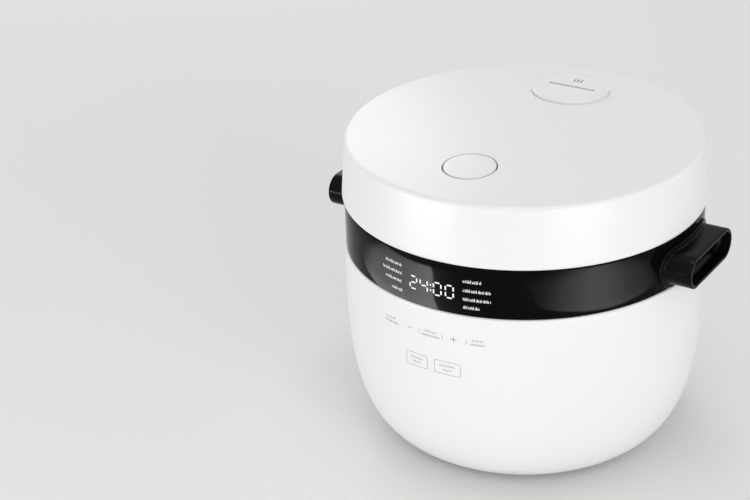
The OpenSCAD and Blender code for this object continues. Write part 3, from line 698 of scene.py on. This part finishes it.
def grip_ring(work, order, reach, radius, hug):
    """One ring of a grip: half circles joined by straight sides, curved like the band if hug."""
    mark = work.edges.layers.int["ring"]
    turn = Matrix.Rotation(math.radians(180 / ring_points), 4, "Z")
    bmesh.ops.create_circle(work, segments=ring_points, radius=radius, matrix=turn)
    for corner in work.verts:
        if corner.co.z == 0:
            corner.co.x += handle_half if corner.co.x > 0 else -handle_half
    straight = [
        edge for edge in work.edges
        if edge.calc_length() > handle_half and edge.verts[0].co.z == 0
    ]
    bmesh.ops.subdivide_edges(work, edges=straight, cuts=11)
    for corner in [corner for corner in work.verts if corner.co.z == 0]:
        along, up = corner.co.x, corner.co.y
        out = math.sqrt(reach ** 2 - along ** 2) if hug else reach
        corner.co = (out, along, handle_z + up)
        for edge in corner.link_edges:
            edge[mark] = order


grip_line = (
    [(p, True) for p in [(120.15, 14)] + arc((120.9, 13.3), 0.7, 90, 0, 5)]
    + [(p, True) for p in arc((122.8, 12.2), 1.2, 180, 270, 6)]
    + [((127, 11), False), ((131, 11), False)]
    + [(p, False) for p in arc((134.6, 10.1), 0.9, 90, 0, 5)]
    + [(p, False) for p in arc((134.9, 9.1), 0.6, 0, -90, 5)]
    + [((132, 8.5), False)]
    + [(p, False) for p in arc((130.5, 4.5), 4, 90, 180, 10)] + [((126.5, 2), False)]
)


def grip(name, side):
    """A whole grip, lofted from its rings, for the right side (1) or the left (-1)."""
    work = bmesh.new()
    mark = work.edges.layers.int.new("ring")
    for order, (point, hug) in enumerate(grip_line):
        grip_ring(work, order, *point, hug)
    rings = [[edge for edge in work.edges if edge[mark] == n] for n in range(len(grip_line))]
    for near, far in zip(rings, rings[1:]):
        bmesh.ops.bridge_loops(work, edges=near + far)
    bmesh.ops.edgeloop_fill(work, edges=rings[0])
    bmesh.ops.edgeloop_fill(work, edges=rings[-1])
    bmesh.ops.recalc_face_normals(work, faces=work.faces)
    to_metres(work)
    if side < 0:
        half_turn = Matrix.Rotation(math.pi, 3, "Z")
        bmesh.ops.rotate(work, cent=(0, 0, 0), matrix=half_turn, verts=work.verts)
    return make_piece(work, name, handle_black)


right_grip = grip("right_grip", 1)
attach(right_grip, "root")
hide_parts("handle_right")
left_grip = grip("left_grip", -1)
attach(left_grip, "root")
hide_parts("handle_left")
coat_nodes(plated_steel, "handle_screws")

# ---------------------------------------------------------------- hinge
# A bracket on the upper frame and an arm on the lid meet on a steel pin, with a wound spring round
# it that lifts the lid. A white cover that follows the band's curve hides them from behind.
coat_nodes(pale_moulding, "hinge_bracket", "hinge_arm")
coat_nodes(plated_steel, "hinge_pin", "hinge_spring")
back_cover = make_piece(softened("hinge_cover", 0.0005), "back_cover", white_gloss)
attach(back_cover, "root")
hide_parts("hinge_cover")

# ---------------------------------------------------------------- lid liner
# The underside of the lid is a moulded disc in pale plastic, held by four screws. The steam cup
# goes up through a hole in it to the vent.
coat_nodes(pale_moulding, "lid_liner", "steam_cup", "latch_slider")
coat_nodes(plated_steel, "latch_spring")

liner_head_z, liner_tip_z = 172.4, 186
post_places = [
    Matrix.Translation((x / 1000, y / 1000, 0))
    for x, y in ((-82, -62), (82, -62), (-88, 52), (88, 52))
]
liner_screws = bmesh.new()
for place in post_places:
    join_work(liner_screws, screw_blank(liner_head_z, liner_tip_z), place)
liner_fixings = make_piece(liner_screws, "liner_fixings", plated_steel)
for bar in cross_bars:
    recesses = bmesh.new()
    for place in post_places:
        join_work(recesses, recess_bar(liner_head_z, bar), place)
    carve(liner_fixings, make_piece(recesses, "recesses", plated_steel))
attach(liner_fixings, "lid")
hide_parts("lid_screws")

# ---------------------------------------------------------------- inner lid
# A loose aluminium disc closes the pot. It has a silicone lip round its edge and is pressed on to
# a post of the liner by a silicone grommet, beside a small steel temperature probe.
spun_disc = start_finish("spun_disc", (0.75, 0.76, 0.77), 0.3, metallic=1.0)
mottle(spun_disc, clouds(spun_disc, 40), (0.77, 0.78, 0.79), (0.69, 0.7, 0.71))
handling_marks(spun_disc, clouds(spun_disc, 60, 4), 0.3, 0.36)
emboss(spun_disc, ring_waves(spun_disc, 420, 0.2), 0.00001)
coat_nodes(spun_disc, "inner_lid")
coat_nodes(plated_steel, "lid_sensor")

silicone = start_finish("silicone", (0.55, 0.57, 0.58), 0.55, specular=0.4)
mottle(silicone, clouds(silicone, 80), (0.56, 0.58, 0.59), (0.5, 0.52, 0.53))
handling_marks(silicone, clouds(silicone, 250), 0.48, 0.64)
emboss(silicone, clouds(silicone, 1800), 0.00003)
coat_nodes(silicone, "inner_lid_seal", "inner_lid_grommet", "steam_cup_seal")

# ---------------------------------------------------------------- lid cover
# The lid's outside is a shallow domed drum in the same glossy white as the shell. It is one
# moulding, open at the back for the hinge, with round wells for the button and the vent cap.
lid_r, crown_r, lid_z, lid_top, dome, lid_wall = 121.4, 118.8, 172, 214, 5, 2.5
button_y, button_r, button_gap = -72.5, 16.8, 1.1
vent_y, vent_r, vent_gap = 67.5, 26.4, 0.15


def dome_z(r):
    """Height of the lid's top at a distance from its centre."""
    return lid_top + dome * (1 - (r / crown_r) ** 2)


def lid_line():
    """The lid's outline: up its wall, over the rounded crown and the dome, and back inside."""
    steps = 26
    crown = arc((115.8, dome_z(116.05) - 2.99), 3, 3.5, 85.3, 10)
    top = [(r, dome_z(r)) for r in (115 * (steps - i) / steps for i in range(steps + 1))]
    under = [(r, dome_z(r) - lid_wall) for r in (113.5 * i / steps for i in range(steps + 1))]
    lip = arc((lid_r - 2.5, lid_z + 2.5), 2.5, -85, 3.5, 8)
    return (
        lip + crown + top + under + [(115.6, 209.6), (116.2, 208.5), (lid_r - lid_wall, lid_z + 3)]
        + [(lid_r - lid_wall, lid_z + 0.05)]
    )


def well_cutter(radius, top, floor, rounded):
    """The solid that opens a well in the lid, flared at the top to leave a rounded brim."""
    flare = arc((radius + rounded, top - rounded), rounded, 180, 90, 5)
    over = top + 8
    return lathe([(0, floor), (radius, floor)] + flare + [(radius + rounded, over), (0, over)], 96)


cover = make_piece(lathe(lid_line(), 240), "lid_drum", white_gloss)
notch = block((-54, 95, 165), (54, 130, 189.5), 2.5, 4)
carve(cover, make_piece(notch, "hinge_notch", white_gloss))

# the raised pad over the hinge
pad = bmesh.new()
pad_reach, pad_start, pad_sweep = 122.6, 55.5, 69
pad_line = [(118.0, 189.5), (122.2, 189.5)] + arc((120.8, 210.4), 2, 0, 90, 6) + [(118.0, 212.6)]
pad_points = [pad.verts.new((min(r, pad_reach), 0, z)) for r, z in pad_line]
pad_face = pad.faces.new(pad_points)
bmesh.ops.rotate(
    pad, cent=(0, 0, 0), matrix=Matrix.Rotation(math.radians(pad_start), 3, "Z"), verts=pad.verts,
)
bmesh.ops.spin(
    pad, geom=[pad_face], cent=(0, 0, 0), axis=(0, 0, 1), angle=math.radians(pad_sweep), steps=48,
)
bmesh.ops.recalc_face_normals(pad, faces=pad.faces)
to_metres(pad)
carve(cover, make_piece(pad, "hinge_pad", white_gloss), "UNION")

# the button's guide and the seat of the vent cap, then the openings through them
guide = lathe([(0, 203), (19, 203), (19.5, 203.5), (19.5, 215.6), (0, 215.6)], 96)
shift(guide, 0, button_y)
carve(cover, make_piece(guide, "button_guide", white_gloss), "UNION")
seat = lathe([(0, 208), (28.6, 208), (29.1, 208.5), (29.1, 213.6), (0, 213.6)], 96)
shift(seat, 0, vent_y)
carve(cover, make_piece(seat, "vent_seat", white_gloss), "UNION")
for cutter, y in (
    (well_cutter(button_r + button_gap, dome_z(button_y), 205, 0.25), button_y),
    (lathe([(0, 200), (9.5, 200), (9.5, 207), (0, 207)], 64), button_y),
    (well_cutter(vent_r + vent_gap, dome_z(vent_y), 210.4, 0.2), vent_y),
    (lathe([(0, 200), (14.2, 200), (14.2, 212), (0, 212)], 64), vent_y),
):
    shift(cutter, 0, y)
    carve(cover, make_piece(cutter, "cutter", white_gloss))

# the four posts that the liner's screws go into
posts = bmesh.new()
for place in post_places:
    post = lathe([(1.55, 176.5), (3.8, 176.5), (4, 176.7), (4, 212.5), (1.55, 212.5)], 32)
    join_work(posts, post, place)
lid_posts = make_piece(posts, "lid_posts", white_gloss)
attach(lid_posts, "lid")

even = cover.modifiers.new("even_shading", "WEIGHTED_NORMAL")
even.keep_sharp = True
even.weight = 100
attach(cover, "lid")
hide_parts("lid_cover")

# ---------------------------------------------------------------- open button
# A round white button, almost flush with the lid, opens it. Its stem ends in a slope that pushes
# the latch back, and a steel spring under the cap lifts it again.
button_top = dome_z(button_y) + 0.35
button_under = button_top - 2.6
skirt_r, skirt_z, stem_r, stem_z = 15.2, 209.3, 8, 183.5
button_line = (
    [(0, button_top + 0.15), (6, button_top + 0.13), (12, button_top + 0.07)]
    + arc((button_r - 0.5, button_top - 0.5), 0.5, 90, 0, 6)
    + [(button_r, skirt_z), (skirt_r, skirt_z), (skirt_r, button_under), (stem_r, button_under)]
    + [(stem_r, stem_z), (0, stem_z)]
)
button_work = lathe(button_line, 128)
shift(button_work, 0, button_y)
for corner in button_work.verts:
    if corner.co.z * 1000 > button_top - 1:
        corner.co.z += (dome_z(corner.co.xy.length * 1000) - dome_z(button_y)) / 1000
slope_z = 0.1919
slope = bmesh.ops.bisect_plane(
    button_work, geom=button_work.verts[:] + button_work.edges[:] + button_work.faces[:],
    plane_co=(0, button_y / 1000, slope_z), plane_no=(0, -1, 1), clear_inner=True,
)["geom_cut"]
bmesh.ops.edgeloop_fill(
    button_work, edges=[part for part in slope if isinstance(part, bmesh.types.BMEdge)],
)
bmesh.ops.recalc_face_normals(button_work, faces=button_work.faces)
push_button = make_piece(button_work, "push_button", white_gloss)
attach(push_button, "open_button")
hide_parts("open_button")

spring_low, spring_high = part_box("button_spring")
spring_length = spring_high[2] - spring_low[2]
coil_r, wire_r, coils, coil_slack = 0.0124, 0.0005, 3, 0.00015
coil_rise = spring_length - 2 * wire_r - coil_slack
coil_steps = coils * 48
coil_start = Matrix.Translation((coil_r, 0, spring_low[2] + wire_r))
coil = bmesh.new()
bmesh.ops.create_circle(
    coil, segments=12, radius=wire_r, cap_ends=True,
    matrix=coil_start @ Matrix.Rotation(math.pi / 2, 4, "X"),
)
bmesh.ops.spin(
    coil, geom=coil.verts[:] + coil.edges[:] + coil.faces[:], cent=(0, 0, 0), axis=(0, 0, 1),
    dvec=(0, 0, coil_rise / coil_steps), angle=math.tau * coils, steps=coil_steps,
)
bmesh.ops.recalc_face_normals(coil, faces=coil.faces)
shift(coil, 0, button_y)
cap_spring = make_piece(coil, "cap_spring", plated_steel)
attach(cap_spring, "lid")
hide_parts("button_spring")
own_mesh(cap_spring)

# ---------------------------------------------------------------- steam vent cap
# The vent's cap is a separate white moulding that lifts out for washing. It has a raised lip, a
# fine groove inside it and one long slot, and a small grey steam sign printed behind the slot.
cap_top = dome_z(vent_y) + 2.9
cap_under = cap_top - 3
slot_y, slot_half, slot_wide = vent_y + 1.5, 17.3, 1.05
cap_line = (
    [(0, cap_top - 0.3), (23.7, cap_top - 0.3), (23.85, cap_top - 0.5), (24.1, cap_top - 0.5)]
    + [(24.25, cap_top - 0.15)] + arc((24.6, cap_top - 1.8), 1.8, 90, 0, 10)
    + [(vent_r, 210.7), (25.4, 210.7), (25.4, cap_under), (11.6, cap_under)]
    + [(11.6, 202.4), (10, 202.4), (10, cap_under), (0, cap_under)]
)
cap_work = lathe(cap_line, 128)
shift(cap_work, 0, vent_y)
vent_cap = make_piece(cap_work, "vent_cap_cover", white_gloss)
slot_cut = block(
    (-slot_half, slot_y - slot_wide, cap_top - 5), (slot_half, slot_y + slot_wide, cap_top + 1),
    0.8, 4,
)
carve(vent_cap, make_piece(slot_cut, "steam_slot", white_gloss))
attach(vent_cap, "vent_cap")
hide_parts("steam_vent_cap")

sign_y, sign_z, sign_step = 77.9, cap_top - 0.26, 0.9
puff_lean = 35
steam = bmesh.new()
for x in (-2.8, -0.3, 2.2):
    for low in range(5):
        turn = Matrix.Rotation(math.radians(puff_lean if low % 2 else -puff_lean), 4, "Z")
        puff = bmesh.ops.create_grid(steam, x_segments=1, y_segments=1, size=0.5)["verts"]
        bmesh.ops.scale(steam, vec=(0.0007, 0.0013, 1), verts=puff)
        bmesh.ops.transform(steam, matrix=turn, verts=puff)
        bmesh.ops.translate(
            steam, vec=(x / 1000, (sign_y + sign_step * low) / 1000, sign_z / 1000), verts=puff,
        )
sign_ink = start_finish("sign_ink", (0.07, 0.07, 0.073), 0.5)
mottle(sign_ink, clouds(sign_ink, 500), (0.06, 0.06, 0.063), (0.09, 0.09, 0.093))
handling_marks(sign_ink, clouds(sign_ink, 900), 0.42, 0.58)
emboss(sign_ink, clouds(sign_ink, 4000), 0.00001)
steam_sign = make_piece(steam, "steam_sign", sign_ink)
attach(steam_sign, "vent_cap")

# ---------------------------------------------------------------- studio
# A plain pale floor, a soft light all round, and large soft lamps at the side, above and behind.
# Two glowing cards on the floor are there for the glossy band alone, as what it mirrors.
backdrop = (0.73, 0.725, 0.715)
floor_work = bmesh.new()
bmesh.ops.create_grid(floor_work, x_segments=1, y_segments=1, size=6)
floor_paint = start_finish("floor_paint", (0.83, 0.825, 0.815), 0.9, specular=0.0)
floor = make_piece(floor_work, "floor", floor_paint)

world = bpy.data.worlds.new("studio")
bpy.context.scene.world = world
world.use_nodes = True
sky = world.node_tree
sky.nodes.clear()
rays = sky.nodes.new("ShaderNodeLightPath")
seen = sky.nodes.new("ShaderNodeMath")
seen.operation = "MAXIMUM"
seen_too = sky.nodes.new("ShaderNodeMath")
seen_too.operation = "MAXIMUM"
fill = sky.nodes.new("ShaderNodeBackground")
fill.inputs["Color"].default_value = (1, 1, 1, 1)
fill.inputs["Strength"].default_value = 0.57
wall = sky.nodes.new("ShaderNodeBackground")
wall.inputs["Color"].default_value = (*backdrop, 1)
wall.inputs["Strength"].default_value = 1.0
blend = sky.nodes.new("ShaderNodeMixShader")
out = sky.nodes.new("ShaderNodeOutputWorld")
sky.links.new(rays.outputs["Is Camera Ray"], seen.inputs[0])
sky.links.new(rays.outputs["Is Glossy Ray"], seen.inputs[1])
sky.links.new(seen.outputs["Value"], seen_too.inputs[0])
sky.links.new(rays.outputs["Is Transmission Ray"], seen_too.inputs[1])
sky.links.new(seen_too.outputs["Value"], blend.inputs["Fac"])
sky.links.new(fill.outputs["Background"], blend.inputs[1])
sky.links.new(wall.outputs["Background"], blend.inputs[2])
sky.links.new(blend.outputs["Shader"], out.inputs["Surface"])


def soft_lamp(name, azimuth, elevation, distance, width, height, power, low=0.12, aim=0.12):
    """A soft lamp at that bearing and distance from a point low over the floor, aimed at another."""
    a, e = math.radians(azimuth), math.radians(elevation)
    back = Vector((math.sin(a) * math.cos(e), -math.cos(a) * math.cos(e), math.sin(e)))
    light = bpy.data.lights.new(name, "AREA")
    light.shape = "RECTANGLE"
    light.size = width
    light.size_y = height
    light.energy = power
    lamp = bpy.data.objects.new(name, light)
    lamp.location = Vector((0, 0, low)) + back * distance
    lamp.rotation_mode = "QUATERNION"
    lamp.rotation_quaternion = (Vector((0, 0, aim)) - lamp.location).to_track_quat("-Z", "Y")
    lamp.visible_camera = False
    bpy.context.scene.collection.objects.link(lamp)


soft_lamp("key_lamp", 58, 16, 2.4, 1.2, 0.9, 11.6)
soft_lamp("top_lamp", 0, 89.9, 2.4, 1.2, 1.2, 12.4)
soft_lamp("back_lamp", 230, 28, 2.4, 1.2, 0.9, 8)
soft_lamp("left_bounce", 330, 0, 0.8, 0.5, 0.12, 1.9, 0.04, 0.06)
soft_lamp("right_bounce", 60, 0, 0.8, 0.5, 0.12, 1.2, 0.04, 0.06)
mirrors = bpy.data.collections.new("mirrors")
mirrors.objects.link(band)


def floor_card(name, middle, across, low, high, glow):
    """A glowing sheet on the floor that only the band mirrors.

    It lies round its middle, turned so many degrees, between two corners in metres. Its glow is
    a list of places along its width, with the strength at each.
    """
    light = bpy.data.lights.new(name, "AREA")
    light.shape = "RECTANGLE"
    light.size, light.size_y = high[0] - low[0], high[1] - low[1]
    # this energy makes the emission's strength the card's own brightness
    light.energy = 4 * light.size * light.size_y
    light.use_nodes = True
    tree = light.node_tree
    place = tree.nodes.new("ShaderNodeNewGeometry")
    apart = tree.nodes.new("ShaderNodeSeparateXYZ")
    ramp = tree.nodes.new("ShaderNodeValToRGB")
    strongest = max(strength for _, strength in glow)
    for order, (x, strength) in enumerate(glow):
        stop = (x - low[0]) / light.size
        mark = ramp.color_ramp.elements[order] if order < 2 else ramp.color_ramp.elements.new(stop)
        mark.position = stop
        mark.color = [strength / strongest] * 3 + [1]
    tree.links.new(place.outputs["Parametric"], apart.inputs[0])
    tree.links.new(apart.outputs["X"], ramp.inputs["Fac"])
    tree.links.new(ramp.outputs["Color"], tree.nodes["Emission"].inputs["Color"])
    tree.nodes["Emission"].inputs["Strength"].default_value = strongest
    card = bpy.data.objects.new(name, light)
    turn = Matrix.Rotation(math.radians(across), 4, "Z")
    inside = Vector(((low[0] + high[0]) / 2, (low[1] + high[1]) / 2, 0))
    card.location = Vector((*middle, 0.002)) + turn @ inside
    card.rotation_euler = (math.pi, 0, math.radians(across))
    card.visible_camera = False
    card.visible_diffuse = False
    card.light_linking.receiver_collection = mirrors
    bpy.context.scene.collection.objects.link(card)


floor_card("left_card", (-0.1623, -0.3651), 146.85, (-0.13, -0.14), (0.34, 0.09), [
    (-0.13, 0), (-0.075, 0.7), (-0.012, 2.2), (-0.01, 24), (0.083, 13), (0.142, 8.6), (0.267, 3.3),
    (0.31, 0.8), (0.335, 0),
])
floor_card("right_card", (0.3679, -0.1661), 72.48, (-0.3, -0.2), (0.3, 0.09), [
    (-0.27, 0), (-0.175, 2.2), (-0.093, 8.6), (-0.02, 12.6), (0.049, 11.2), (0.152, 4), (0.257, 0),
])

camera = bpy.data.cameras.new("camera")
camera.lens = 94.7
camera.sensor_width = 36
watch = bpy.data.objects.new("camera", camera)
bpy.context.scene.collection.objects.link(watch)
bpy.context.scene.camera = watch
view_az, view_el = math.radians(28), math.radians(25.1)
towards = Vector((
    math.sin(view_az) * math.cos(view_el), -math.cos(view_az) * math.cos(view_el),
    math.sin(view_el),
))
aim_z, camera_distance = 0.172, 1.32
watch.location = Vector((0, 0, aim_z)) + towards * camera_distance
# turned aside, so that the cooker stands right of the middle of the picture
look = Vector((-0.0755, -0.0314, -1))
aside = Vector((0, 0, -1)).rotation_difference(look)
watch.rotation_mode = "QUATERNION"
watch.rotation_quaternion = (-towards).to_track_quat("-Z", "Y") @ aside
camera.clip_start, camera.clip_end = 0.05, 50

bpy.context.scene.view_settings.view_transform = "Standard"
